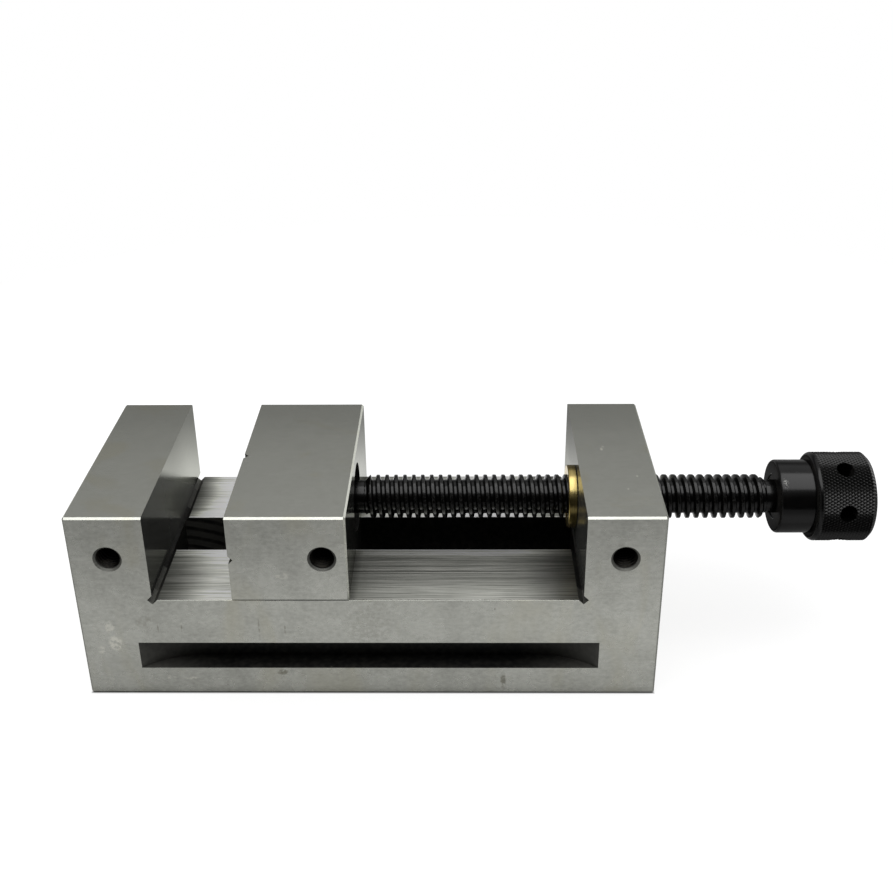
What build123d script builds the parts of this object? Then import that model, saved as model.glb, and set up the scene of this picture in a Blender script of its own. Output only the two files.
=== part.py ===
from build123d import *
from math import cos, radians, sin, sqrt, tan
import os

# A toolmaker's screw vise. One hardened and ground steel block is the fixed jaw, the bed and the
# nut block. The moving jaw slides on the two rails of the bed, held down by a keeper plate under
# them, and a lead screw in a flanged brass nut pushes and pulls it.
# Millimetres. X runs from the fixed jaw to the knob, Y from front to rear, Z up. The origin lies
# under the middle of the whole vise, on the ground underside.

# Body block
body_length = 245.0
body_width = 100.0
jaw_top_height = 90.0
bed_height = 49.5
fixed_jaw_thickness = 32.2
nut_block_thickness = 32.5
corner_relief_width = 3.0
edge_chamfer = 0.8
rail_edge_chamfer = 0.3

# Slot between the rails, and the channel under them that the keeper plate runs in
rail_slot_width = 26.0
rail_thickness = 19.5
channel_width = 48.0
channel_overrun = 4.0
channel_corner_radius = 6.0

# Clamping slots in the front and rear, sunk with a disc cutter that leaves a curved run-out
side_slot_bottom = 13.8
side_slot_height = 13.5
side_slot_depth = 9.0
side_slot_left_margin = 23.7
side_slot_right_margin = 24.9
side_cutter_radius = 45.0

# Tapped M12 holes for a work stop, in the front of both jaws and of the nut block
stop_tap_drill = 10.2
stop_thread = 12.0
stop_hole_depth = 24.0
stop_hole_height = 70.0
moving_stop_margin = 10.4
countersink_angle = 90.0

# Moving jaw, at the opening that it is stored at
jaw_opening = 33.5
jaw_length = 49.1
slide_side_clearance = 0.05
slide_lift_clearance = 0.05
vee_depth = 2.0
vee_half_width = 2.0
upright_vee_offset = 0.0
level_vee_height = 20.0

# Keeper plate and its fasteners
keeper_end_margin = 2.5
keeper_side_clearance = 0.5
keeper_thickness = 16.0
keeper_screw_spacing = 26.0
keeper_screw_thread = 8.0
keeper_screw_head = 13.0
keeper_screw_head_height = 8.0
keeper_screw_length = 20.0
keeper_screw_socket = 6.0
keeper_screw_socket_depth = 4.0
keeper_counterbore = 14.0
keeper_counterbore_depth = 10.4
keeper_hole_clearance = 0.5
keeper_tap_run_out = 3.0
washer_thickness = 2.0
washer_bore = 8.2
washer_gap = 1.5
dowel_diameter = 5.0
dowel_length = 20.0
dowel_spacing = 16.0
dowel_sink = 2.0

# Lead screw
screw_axis_height = 69.0
screw_major = 19.5
screw_neck = 14.8
thread_start_gap = 3.7
thread_length = 178.0
knob_gap = 3.9
screw_end_sink = 1.0
screw_end_chamfer = 1.0
centre_hole = 6.0
centre_hole_angle = radians(60)

# Flanged brass nut and the grub screw that keys it
nut_flange = 28.0
nut_flange_thickness = 3.8
nut_flange_chamfer = 0.3
nut_barrel = 25.0
nut_sink = 1.5
nut_running_clearance = 0.2
nut_key_thread = 5.0
nut_key_length = 8.0
nut_key_socket = 2.5

# Bearing of the screw in the moving jaw, from the back of the jaw inwards
jaw_bore = 30.5
bush_recess = 6.0
bush_length = 8.0
bush_running_clearance = 0.1
spanner_slot_width = 4.0
spanner_slot_depth = 3.0
collar_float = 0.2
thrust_collar = 26.0
thrust_collar_length = 12.0
collar_pin_diameter = 4.0
collar_pin_sink = 4.4
button_diameter = 8.0
button_length = 5.0
button_sink = 3.5
button_float = 0.05
pad_diameter = 28.0
pad_thickness = 5.0

# Knob
knob_length = 40.6
knob_collar = 32.5
knob_collar_length = 15.1
knob_collar_chamfer = 1.0
knob_head = 39.5
knob_shoulder_chamfer = 2.0
knob_end_chamfer = 1.8
knob_recess = 19.7
knob_recess_depth = 0.5
tommy_hole = 7.5
tommy_hole_depth = 10.5
tommy_hole_sink = 0.45
tommy_hole_from_head = 13.1
tommy_hole_count = 6
tommy_hole_phase = 8.0
grub_thread = 6.0
grub_length = 8.0
grub_socket = 3.0
grub_from_collar_end = 8.0
grub_phases = {"upper": 128.0, "lower": 218.0}

# Radial clearance of threads, dowels and pressed pieces, and the depth of small hex sockets
seat_clearance = 0.02
socket_depth = 3.0

# Places along X
overall_length = (
    fixed_jaw_thickness + jaw_opening + jaw_length
    + thread_start_gap + thread_length + knob_gap + knob_length
)
left_end = -overall_length / 2
right_end = left_end + body_length
fixed_face = left_end + fixed_jaw_thickness
block_face = right_end - nut_block_thickness
jaw_face = fixed_face + jaw_opening
jaw_back = jaw_face + jaw_length
jaw_middle = jaw_face + jaw_length / 2
bush_right = jaw_back - bush_recess
bush_left = bush_right - bush_length
collar_right = bush_left - collar_float
nose_end = collar_right - thrust_collar_length
button_end = nose_end + button_sink
button_face = button_end - button_length
pad_face = button_face - button_float
pad_back = pad_face - pad_thickness
thread_start = jaw_back + thread_start_gap
thread_end = thread_start + thread_length
knob_left = thread_end + knob_gap
knob_head_left = knob_left + knob_collar_length
knob_right = knob_left + knob_length
screw_end = knob_right - screw_end_sink
nut_right = right_end - nut_sink

# Places along Z, and the screw's axis
channel_ceiling = bed_height - rail_thickness
tongue_bottom = channel_ceiling - slide_lift_clearance
keeper_bottom = tongue_bottom - keeper_thickness
head_seat = keeper_bottom + keeper_counterbore_depth
screw_axis = Axis((0, 0, screw_axis_height), (1, 0, 0))
front_face = -body_width / 2
jaw_height = jaw_top_height - bed_height

os.makedirs("parts", exist_ok=True)


def save(piece, name):
    piece.part.label = name
    export_step(piece.part, f"parts/{name}.step")


# A plane across the screw's axis: local x is Y, local y is Z, and it faces the knob
def across_screw(x):
    return Plane(origin=(x, 0, screw_axis_height), x_dir=(0, 1, 0), z_dir=(1, 0, 0))


# A plane whose normal leaves the screw's axis, at an angle counted up from the front
def radial_plane(x, angle, radius):
    outward = Vector(0, -cos(radians(angle)), sin(radians(angle)))
    centre = Vector(x, 0, screw_axis_height) + outward * radius
    return Plane(origin=centre, x_dir=(1, 0, 0), z_dir=outward)


# A plane that looks out of the front face, for the stop hole at x
def stop_plane(x):
    return Plane(origin=(x, front_face, stop_hole_height), x_dir=(1, 0, 0), z_dir=(0, -1, 0))


# Body block, from its side view: jaw, bed and nut block in one
with BuildPart() as vise_body:
    with BuildSketch(Plane.XZ):
        with BuildLine():
            Polyline(
                (left_end, 0),
                (right_end, 0),
                (right_end, jaw_top_height),
                (block_face, jaw_top_height),
                (block_face, bed_height),
                (fixed_face, bed_height),
                (fixed_face, jaw_top_height),
                (left_end, jaw_top_height),
                close=True,
            )
        make_face()
        with Locations((fixed_face, bed_height), (block_face, bed_height)):
            Rectangle(corner_relief_width, corner_relief_width, rotation=45, mode=Mode.SUBTRACT)
    extrude(amount=body_width / 2, both=True)
    # Outer edges are broken; the gripping edges of the jaws stay sharp
    top_edges = vise_body.edges().filter_by(Axis.X).group_by(Axis.Z)[-1]
    end_edges = vise_body.edges().filter_by(Axis.Y).group_by(Axis.X)
    corner_edges = vise_body.edges().filter_by(Axis.Z).filter_by(
        lambda edge: abs(edge.center().X - left_end) < 0.1 or abs(edge.center().X - right_end) < 0.1
    )
    bottom_edges = vise_body.edges().filter_by(Axis.X).group_by(Axis.Z)[0]
    chamfer([*top_edges, *end_edges[0], *end_edges[-1], *corner_edges, *bottom_edges], edge_chamfer)
    # Channel under the rails, open below
    with BuildSketch(Plane.XY):
        with Locations(((fixed_face + block_face) / 2, 0)):
            channel_length = block_face - fixed_face + 2 * channel_overrun
            RectangleRounded(channel_length, channel_width, channel_corner_radius)
    extrude(amount=channel_ceiling, mode=Mode.SUBTRACT)
    # Slot between the rails
    with BuildSketch(Plane.XY.offset(channel_ceiling)):
        with Locations(((fixed_face + block_face) / 2, 0)):
            Rectangle(block_face - fixed_face, rail_slot_width)
    extrude(amount=rail_thickness + corner_relief_width, mode=Mode.SUBTRACT)
    # The rails' long top edges are only stoned
    rail_edges = vise_body.edges().filter_by(Axis.X).filter_by(
        lambda edge: abs(edge.center().Z - bed_height) < 0.1
    )
    chamfer(rail_edges, rail_edge_chamfer)
    # Clamping slots: the cutter's centre runs outside the body, so the ends run out as arcs
    cutter_run_out = sqrt(side_cutter_radius**2 - (side_cutter_radius - side_slot_depth) ** 2)
    cutter_left = left_end + side_slot_left_margin + cutter_run_out
    cutter_right = right_end - side_slot_right_margin - cutter_run_out
    cutter_outside = body_width / 2 + side_cutter_radius - side_slot_depth
    with BuildSketch(Plane.XY.offset(side_slot_bottom)):
        with Locations(
            ((cutter_left + cutter_right) / 2, -cutter_outside),
            ((cutter_left + cutter_right) / 2, cutter_outside),
        ):
            SlotCenterToCenter(cutter_right - cutter_left, 2 * side_cutter_radius)
    extrude(amount=side_slot_height, mode=Mode.SUBTRACT)
    # Bore for the nut, and the hole for its key, half in the block and half in the nut
    with BuildSketch(across_screw(block_face)):
        Circle(nut_barrel / 2 + seat_clearance)
    extrude(amount=nut_block_thickness, mode=Mode.SUBTRACT)
    with BuildSketch(across_screw(nut_right - nut_key_length)):
        with Locations((0, -nut_barrel / 2)):
            Circle(nut_key_thread / 2 + seat_clearance)
    extrude(amount=nut_key_length + nut_sink, mode=Mode.SUBTRACT)
    # Stop holes
    fixed_stop_x = left_end + fixed_jaw_thickness / 2
    block_stop_x = right_end - nut_block_thickness / 2
    with Locations(stop_plane(fixed_stop_x), stop_plane(block_stop_x)):
        CounterSinkHole(stop_tap_drill / 2, stop_thread / 2, stop_hole_depth, countersink_angle)
save(vise_body, "vise_body")

# Brass nut: its flange takes the pull of the screw on the inner face of the block
with BuildPart() as lead_nut:
    with BuildSketch(across_screw(block_face)):
        Circle(nut_flange / 2)
    extrude(amount=-nut_flange_thickness)
    chamfer(lead_nut.edges().sort_by(Axis.X)[0], nut_flange_chamfer)
    with BuildSketch(across_screw(block_face)):
        Circle(nut_barrel / 2)
    extrude(amount=nut_block_thickness - nut_sink)
    with BuildSketch(across_screw(nut_right)):
        Circle(screw_major / 2 + nut_running_clearance)
    extrude(amount=-(nut_block_thickness + nut_flange_thickness), mode=Mode.SUBTRACT)
    with BuildSketch(across_screw(nut_right - nut_key_length)):
        with Locations((0, -nut_barrel / 2)):
            Circle(nut_key_thread / 2 + seat_clearance)
    extrude(amount=nut_key_length, mode=Mode.SUBTRACT)
save(lead_nut, "lead_nut")

# Grub screw in the joint of nut and block, which stops the nut from turning
with BuildPart() as nut_key_screw:
    with BuildSketch(across_screw(nut_right - nut_key_length)):
        with Locations((0, -nut_barrel / 2)):
            Circle(nut_key_thread / 2)
    extrude(amount=nut_key_length)
    with BuildSketch(across_screw(nut_right)):
        with Locations((0, -nut_barrel / 2)):
            RegularPolygon(nut_key_socket / 2, 6, major_radius=False)
    extrude(amount=-socket_depth, mode=Mode.SUBTRACT)
save(nut_key_screw, "nut_key_screw")

# Moving jaw: a block on the rails, with a tongue in the slot between them
with BuildPart() as moving_jaw:
    with BuildSketch(Plane.XY.offset(bed_height)):
        with Locations((jaw_middle, 0)):
            Rectangle(jaw_length, body_width)
    extrude(amount=jaw_height)
    side_top_edges = moving_jaw.edges().filter_by(Axis.X).group_by(Axis.Z)[-1]
    back_top_edge = moving_jaw.edges().filter_by(Axis.Y).group_by(Axis.Z)[-1].sort_by(Axis.X)[-1]
    back_corner_edges = moving_jaw.edges().filter_by(Axis.Z).group_by(Axis.X)[-1]
    chamfer([*side_top_edges, back_top_edge, *back_corner_edges], edge_chamfer)
    with BuildSketch(Plane.XY.offset(tongue_bottom)):
        with Locations((jaw_middle, 0)):
            Rectangle(jaw_length, rail_slot_width - 2 * slide_side_clearance)
    extrude(amount=bed_height - tongue_bottom)
    # Upright and level vees in the gripping face, for round work
    with BuildSketch(Plane.XY.offset(bed_height)):
        with BuildLine():
            Polyline(
                (jaw_face, upright_vee_offset - vee_half_width),
                (jaw_face + vee_depth, upright_vee_offset),
                (jaw_face, upright_vee_offset + vee_half_width),
                close=True,
            )
        make_face()
    extrude(amount=jaw_height, mode=Mode.SUBTRACT)
    with BuildSketch(Plane.XZ):
        with BuildLine():
            Polyline(
                (jaw_face, bed_height + level_vee_height - vee_half_width),
                (jaw_face + vee_depth, bed_height + level_vee_height),
                (jaw_face, bed_height + level_vee_height + vee_half_width),
                close=True,
            )
        make_face()
    extrude(amount=body_width / 2, both=True, mode=Mode.SUBTRACT)
    # Blind bore for the bearing of the screw, tapped for the retaining bush
    with BuildSketch(across_screw(jaw_back)):
        Circle(jaw_bore / 2)
    extrude(amount=-(jaw_back - pad_back), mode=Mode.SUBTRACT)
    with Locations(stop_plane(jaw_back - moving_stop_margin)):
        CounterSinkHole(stop_tap_drill / 2, stop_thread / 2, stop_hole_depth, countersink_angle)
    # Tapped and reamed holes for the keeper plate, from under the tongue
    thread_in_tongue = head_seat - washer_thickness + keeper_screw_length - tongue_bottom
    with BuildSketch(Plane.XY.offset(tongue_bottom)):
        with Locations((jaw_middle, 0)):
            with GridLocations(keeper_screw_spacing, 0, 2, 1):
                Circle(keeper_screw_thread / 2 + seat_clearance)
    extrude(amount=thread_in_tongue + keeper_tap_run_out, mode=Mode.SUBTRACT)
    dowel_in_tongue = keeper_bottom + dowel_sink + dowel_length - tongue_bottom
    with BuildSketch(Plane.XY.offset(tongue_bottom)):
        with Locations((jaw_middle, 0)):
            with GridLocations(0, dowel_spacing, 1, 2):
                Circle(dowel_diameter / 2 + seat_clearance)
    extrude(amount=dowel_in_tongue, mode=Mode.SUBTRACT)
save(moving_jaw, "moving_jaw")

# Keeper plate: wider than the slot, it runs under the rails and holds the jaw down
with BuildPart() as keeper_plate:
    with BuildSketch(Plane.XY.offset(keeper_bottom)):
        with Locations((jaw_middle, 0)):
            keeper_width = channel_width - 2 * keeper_side_clearance
            Rectangle(jaw_length - 2 * keeper_end_margin, keeper_width)
    extrude(amount=keeper_thickness)
    chamfer(keeper_plate.edges().filter_by(Axis.Z), edge_chamfer)
    chamfer(keeper_plate.faces().sort_by(Axis.Z)[0].edges(), edge_chamfer)
    with BuildSketch(Plane.XY.offset(keeper_bottom)):
        with Locations((jaw_middle, 0)):
            with GridLocations(keeper_screw_spacing, 0, 2, 1):
                Circle(keeper_counterbore / 2)
    extrude(amount=keeper_counterbore_depth, mode=Mode.SUBTRACT)
    with BuildSketch(Plane.XY.offset(head_seat)):
        with Locations((jaw_middle, 0)):
            with GridLocations(keeper_screw_spacing, 0, 2, 1):
                Circle(keeper_screw_thread / 2 + keeper_hole_clearance)
    extrude(amount=tongue_bottom - head_seat, mode=Mode.SUBTRACT)
    with BuildSketch(Plane.XY.offset(keeper_bottom)):
        with Locations((jaw_middle, 0)):
            with GridLocations(0, dowel_spacing, 1, 2):
                Circle(dowel_diameter / 2 + seat_clearance)
    extrude(amount=keeper_thickness, mode=Mode.SUBTRACT)
save(keeper_plate, "keeper_plate")

# Two socket head cap screws M8, heads down, each on a spring washer
for side, side_name in ((-1, "left"), (1, "right")):
    screw_x = jaw_middle + side * keeper_screw_spacing / 2
    head_top = head_seat - washer_thickness
    with BuildPart() as keeper_screw:
        with BuildSketch(Plane.XY.offset(head_top - keeper_screw_head_height)):
            with Locations((screw_x, 0)):
                Circle(keeper_screw_head / 2)
        extrude(amount=keeper_screw_head_height)
        with BuildSketch(Plane.XY.offset(head_top)):
            with Locations((screw_x, 0)):
                Circle(keeper_screw_thread / 2)
        extrude(amount=keeper_screw_length)
        with BuildSketch(Plane.XY.offset(head_top - keeper_screw_head_height)):
            with Locations((screw_x, 0)):
                RegularPolygon(keeper_screw_socket / 2, 6, major_radius=False)
        extrude(amount=keeper_screw_socket_depth, mode=Mode.SUBTRACT)
    save(keeper_screw, f"keeper_screw_{side_name}")

    with BuildPart() as spring_washer:
        with BuildSketch(Plane.XY.offset(head_top)):
            with Locations((screw_x, 0)):
                Circle(keeper_screw_head / 2)
                Circle(washer_bore / 2, mode=Mode.SUBTRACT)
            with Locations((screw_x, keeper_screw_head / 2)):
                Rectangle(washer_gap, keeper_screw_head, mode=Mode.SUBTRACT)
        extrude(amount=washer_thickness)
    save(spring_washer, f"spring_washer_{side_name}")

# Two dowels, which place the plate on the tongue
for side, side_name in ((-1, "front"), (1, "rear")):
    with BuildPart() as keeper_dowel:
        with BuildSketch(Plane.XY.offset(keeper_bottom + dowel_sink)):
            with Locations((jaw_middle, side * dowel_spacing / 2)):
                Circle(dowel_diameter / 2)
        extrude(amount=dowel_length)
    save(keeper_dowel, f"keeper_dowel_{side_name}")

# Hardened thrust pad at the bottom of the bore
with BuildPart() as thrust_pad:
    with BuildSketch(across_screw(pad_back)):
        Circle(pad_diameter / 2)
    extrude(amount=pad_thickness)
save(thrust_pad, "thrust_pad")

# Hardened button in the nose of the screw, which turns against the pad
with BuildPart() as thrust_button:
    with BuildSketch(across_screw(button_face)):
        Circle(button_diameter / 2)
    extrude(amount=button_length)
save(thrust_button, "thrust_button")

# Threaded bush, which keeps the collar of the screw in the bore, with a slot for its spanner
with BuildPart() as retaining_bush:
    with BuildSketch(across_screw(bush_left)):
        Circle(jaw_bore / 2 - seat_clearance)
        Circle(screw_neck / 2 + bush_running_clearance, mode=Mode.SUBTRACT)
    extrude(amount=bush_length)
    with BuildSketch(across_screw(bush_right)):
        Rectangle(jaw_bore, spanner_slot_width)
    extrude(amount=-spanner_slot_depth, mode=Mode.SUBTRACT)
save(retaining_bush, "retaining_bush")

# Lead screw, turned from one bar: neck, threaded length at its outside diameter, and shank
screw_radius = screw_major / 2
neck_radius = screw_neck / 2
thread_bevel = screw_radius - neck_radius
button_bore = button_diameter / 2 + seat_clearance
centre_hole_depth = centre_hole / 2 / tan(centre_hole_angle / 2)
with BuildPart() as lead_screw:
    with BuildSketch(Plane.XZ):
        with BuildLine():
            Polyline(
                (button_end, screw_axis_height),
                (button_end, screw_axis_height + button_bore),
                (nose_end, screw_axis_height + button_bore),
                (nose_end, screw_axis_height + neck_radius),
                (thread_start, screw_axis_height + neck_radius),
                (thread_start + thread_bevel, screw_axis_height + screw_radius),
                (thread_end - thread_bevel, screw_axis_height + screw_radius),
                (thread_end, screw_axis_height + neck_radius),
                (screw_end - screw_end_chamfer, screw_axis_height + neck_radius),
                (screw_end, screw_axis_height + neck_radius - screw_end_chamfer),
                (screw_end, screw_axis_height + centre_hole / 2),
                (screw_end - centre_hole_depth, screw_axis_height),
                close=True,
            )
        make_face()
    revolve(axis=screw_axis)
    collar_middle = nose_end + thrust_collar_length / 2
    pin_bottom = screw_axis_height + neck_radius - collar_pin_sink
    with BuildSketch(Plane.XY.offset(pin_bottom)):
        with Locations((collar_middle, 0)):
            Circle(collar_pin_diameter / 2 + seat_clearance)
    extrude(amount=collar_pin_sink, mode=Mode.SUBTRACT)
save(lead_screw, "lead_screw")

# Collar on the neck, which pulls the jaw back against the bush
with BuildPart() as thrust_collar_ring:
    with BuildSketch(across_screw(nose_end)):
        Circle(thrust_collar / 2)
        Circle(neck_radius + seat_clearance, mode=Mode.SUBTRACT)
    extrude(amount=thrust_collar_length)
    with BuildSketch(Plane.XY.offset(screw_axis_height)):
        with Locations((collar_middle, 0)):
            Circle(collar_pin_diameter / 2 + seat_clearance)
    extrude(amount=thrust_collar / 2, mode=Mode.SUBTRACT)
save(thrust_collar_ring, "thrust_collar")

# Pin through the collar into the neck, filed round to the collar
with BuildPart() as collar_pin:
    with BuildSketch(Plane.XY.offset(pin_bottom)):
        with Locations((collar_middle, 0)):
            Circle(collar_pin_diameter / 2)
    extrude(amount=thrust_collar)
    with BuildSketch(across_screw(nose_end)):
        Circle(thrust_collar / 2)
    extrude(amount=thrust_collar_length, mode=Mode.INTERSECT)
save(collar_pin, "collar_pin")

# Knob: smooth collar and knurled head, with holes for a tommy bar
with BuildPart() as knob:
    with BuildSketch(Plane.XZ):
        with BuildLine():
            Polyline(
                (knob_left, screw_axis_height),
                (knob_right, screw_axis_height),
                (knob_right, screw_axis_height + knob_head / 2),
                (knob_head_left, screw_axis_height + knob_head / 2),
                (knob_head_left, screw_axis_height + knob_collar / 2),
                (knob_left, screw_axis_height + knob_collar / 2),
                close=True,
            )
        make_face()
    revolve(axis=screw_axis)
    knob_rims = knob.edges().filter_by(GeomType.CIRCLE)
    head_rims = knob_rims.group_by(SortBy.RADIUS)[-1].sort_by(Axis.X)
    chamfer(knob_rims.sort_by(Axis.X)[0], knob_collar_chamfer)
    chamfer(head_rims[0], knob_shoulder_chamfer)
    chamfer(head_rims[-1], knob_end_chamfer)
    with BuildSketch(across_screw(knob_left)):
        Circle(neck_radius + seat_clearance)
    extrude(amount=knob_length, mode=Mode.SUBTRACT)
    with BuildSketch(across_screw(knob_left)):
        Circle(knob_recess / 2)
    extrude(amount=knob_recess_depth, mode=Mode.SUBTRACT)
    tommy_x = knob_head_left + tommy_hole_from_head
    for index in range(tommy_hole_count):
        hole_angle = tommy_hole_phase + index * 360 / tommy_hole_count
        with BuildSketch(radial_plane(tommy_x, hole_angle, knob_head / 2)):
            Circle(tommy_hole / 2)
        extrude(amount=-tommy_hole_depth, mode=Mode.SUBTRACT)
        with BuildSketch(radial_plane(tommy_x, hole_angle, knob_head / 2)):
            Circle(tommy_hole / 2 + tommy_hole_sink)
        extrude(amount=-tommy_hole_sink, taper=45, mode=Mode.SUBTRACT)
    grub_x = knob_left + grub_from_collar_end
    for grub_angle in grub_phases.values():
        with BuildSketch(radial_plane(grub_x, grub_angle, knob_collar / 2)):
            Circle(grub_thread / 2 + seat_clearance)
        extrude(amount=-(knob_collar / 2 - neck_radius / 2), mode=Mode.SUBTRACT)
save(knob, "knob")

# Two grub screws at a right angle, on the far side of the collar, which hold the knob
for grub_name, grub_angle in grub_phases.items():
    with BuildPart() as grub_screw:
        with BuildSketch(radial_plane(grub_x, grub_angle, neck_radius + seat_clearance)):
            Circle(grub_thread / 2)
        extrude(amount=grub_length)
        with BuildSketch(radial_plane(grub_x, grub_angle, neck_radius + grub_length)):
            RegularPolygon(grub_socket / 2, 6, major_radius=False)
        extrude(amount=-socket_depth, mode=Mode.SUBTRACT)
    save(grub_screw, f"knob_grub_screw_{grub_name}")
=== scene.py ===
import math

import bmesh
import bpy
from mathutils import Euler, Matrix, Vector


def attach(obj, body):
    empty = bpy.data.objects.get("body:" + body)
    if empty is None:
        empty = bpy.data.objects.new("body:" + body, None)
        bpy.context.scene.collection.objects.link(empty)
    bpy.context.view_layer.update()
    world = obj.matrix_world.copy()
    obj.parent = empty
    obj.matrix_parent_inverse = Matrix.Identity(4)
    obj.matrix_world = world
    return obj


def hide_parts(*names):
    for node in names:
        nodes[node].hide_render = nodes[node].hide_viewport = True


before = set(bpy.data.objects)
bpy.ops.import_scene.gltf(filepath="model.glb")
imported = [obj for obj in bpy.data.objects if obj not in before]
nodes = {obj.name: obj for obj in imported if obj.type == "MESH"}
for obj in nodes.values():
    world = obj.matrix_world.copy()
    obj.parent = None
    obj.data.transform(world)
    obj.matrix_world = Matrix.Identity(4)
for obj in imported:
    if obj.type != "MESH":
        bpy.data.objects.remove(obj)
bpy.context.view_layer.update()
scene = bpy.context.scene
scene.view_settings.view_transform = "Standard"

# Viewpoint: a short telephoto from the front and 25 degrees above, with the optical axis a
# little above the middle of the vise, and turned and rolled by half a degree.
camera = bpy.data.objects.new("viewpoint", bpy.data.cameras.new("viewpoint"))
camera.location = (-0.00842, -0.43983, 0.34342)
camera.rotation_euler = Euler([math.radians(a) for a in (64.59, 0.481, 0.628)])
camera.data.lens = 46.28
camera.data.sensor_width = 36.0
camera.data.shift_y = -0.0918
camera.data.clip_start = 0.01
camera.data.dof.use_dof = False
scene.collection.objects.link(camera)
scene.camera = camera


# Studio: an overhead soft box a little in front of the vise, a white table that keeps the
# shadow and glows in bands seen only in reflections, which paints reflected light, and a pale
# surround that is dark along the front horizon, with a bright panel low behind the vise on its right.
class Value:
    """A socket of a node tree. Sums on it add Math nodes, and node() adds any other node."""

    def __init__(self, tree, socket=None):
        self.tree = tree
        self.socket = socket

    def node(self, kind, sockets=None, out=0, stops=(), **settings):
        made = self.tree.nodes.new("ShaderNode" + kind)
        for name, setting in settings.items():
            setattr(made, name, setting)
        for index, (place, colour) in enumerate(stops):
            elements = made.color_ramp.elements
            stop = elements[index] if index < len(elements) else elements.new(place)
            stop.position = place
            stop.color = (*colour, 1.0)
        for name, value in (sockets or {}).items():
            if isinstance(value, Value):
                self.tree.links.new(value.socket, made.inputs[name])
            else:
                made.inputs[name].default_value = value
        return Value(self.tree, made.outputs[out])

    def maths(self, operation, first, second=0.0):
        return self.node("Math", {0: first, 1: second}, operation=operation)

    def __add__(self, other):
        return self.maths("ADD", self, other)

    __radd__ = __add__

    def __sub__(self, other):
        return self.maths("SUBTRACT", self, other)

    def __rsub__(self, other):
        return self.maths("SUBTRACT", other, self)

    def __mul__(self, other):
        return self.maths("MULTIPLY", self, other)

    __rmul__ = __mul__

    def __truediv__(self, other):
        return self.maths("DIVIDE", self, other)

    def __lt__(self, other):
        return self.maths("LESS_THAN", self, other)

    def __gt__(self, other):
        return self.maths("GREATER_THAN", self, other)

    def __abs__(self):
        return self.maths("ABSOLUTE", self)

    def root(self):
        return self.maths("SQRT", self)

    def most(self, other):
        return self.maths("MAXIMUM", self, other)

    def eased(self, low, high, start=0.0, end=1.0):
        """Runs smoothly from start to end as this value goes from low to high."""
        sockets = {"Value": self, "From Min": low, "From Max": high, "To Min": start, "To Max": end}
        return self.node("MapRange", sockets, interpolation_type="SMOOTHSTEP")

    def parts(self):
        """The three parts of a vector."""
        split = self.node("SeparateXYZ", {0: self}).socket.node
        return [Value(self.tree, split.outputs[axis]) for axis in range(3)]

    def vector(self, operation, other=(0.0, 0.0, 0.0), out=0):
        """Vector Math on a vector or a colour."""
        return self.node("VectorMath", {0: self, 1: other}, out=out, operation=operation)

    def blend(self, first, second):
        """The first colour where this value is 0, the second where it is 1."""
        return self.node("Mix", {0: self, 6: first, 7: second}, out=2, data_type="RGBA")

    def ramp(self, stops):
        """The colour of a ramp at this value."""
        return self.node("ValToRGB", {0: self}, stops=stops)

    def levels(self, stops):
        """The level of a grey ramp at this value."""
        return self.ramp([(place, (level,) * 3) for place, level in stops])


world = bpy.data.worlds.new("surround")
world.use_nodes = True
world.node_tree.nodes.clear()
scene.world = world
sky = Value(world.node_tree)
sideways, depth, height = sky.node("TexCoord", out="Generated").parts()
rear = height.levels((
    (0.0, 0.30), (0.20, 0.22), (0.43, 0.105), (0.49, 0.215), (0.55, 0.31), (0.66, 0.62), (1.0, 0.80)))
front = height.levels(((0.0, 0.02), (0.45, 0.02), (0.62, 0.15), (1.0, 0.70)))
towards_rear = (depth + abs(sideways) * 0.8).eased(-0.25, 0.35)
panel_height = height.eased(-0.02, 0.04) * height.eased(0.16, 0.24, 1.0, 0.0)
panel = sideways.eased(0.36, 0.48) * panel_height * (depth > 0.3)
surround = sky.node("Background", {
    "Color": towards_rear.blend(front, rear), "Strength": 1.0 + panel * 5.0})
backdrop = sky.node("Background", {"Color": (1.0, 1.0, 1.0, 1.0), "Strength": 1.0})
seen = sky.node("LightPath", out="Is Camera Ray")
shown = sky.node("MixShader", {0: seen, 1: surround, 2: backdrop})
world_output = world.node_tree.nodes.new("ShaderNodeOutputWorld")
world.node_tree.links.new(shown.socket, world_output.inputs["Surface"])

soft_box = bpy.data.objects.new("overhead_soft_box", bpy.data.lights.new("overhead_soft_box", "AREA"))
soft_box.data.shape = "RECTANGLE"
soft_box.data.size = 1.10
soft_box.data.size_y = 0.64
soft_box.data.energy = 5.0
soft_box.location = (0.0, -0.198, 0.57)
soft_box.rotation_euler = (math.radians(-21.2), 0.0, 0.0)
scene.collection.objects.link(soft_box)


def new_material(name):
    """An empty material, and the value that adds nodes to it."""
    material = bpy.data.materials.new(name)
    material.use_nodes = True
    material.node_tree.nodes.clear()
    return material, Value(material.node_tree)


def finish_material(material, shader):
    output = material.node_tree.nodes.new("ShaderNodeOutputMaterial")
    material.node_tree.links.new(shader.socket, output.inputs["Surface"])
    return material


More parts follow.
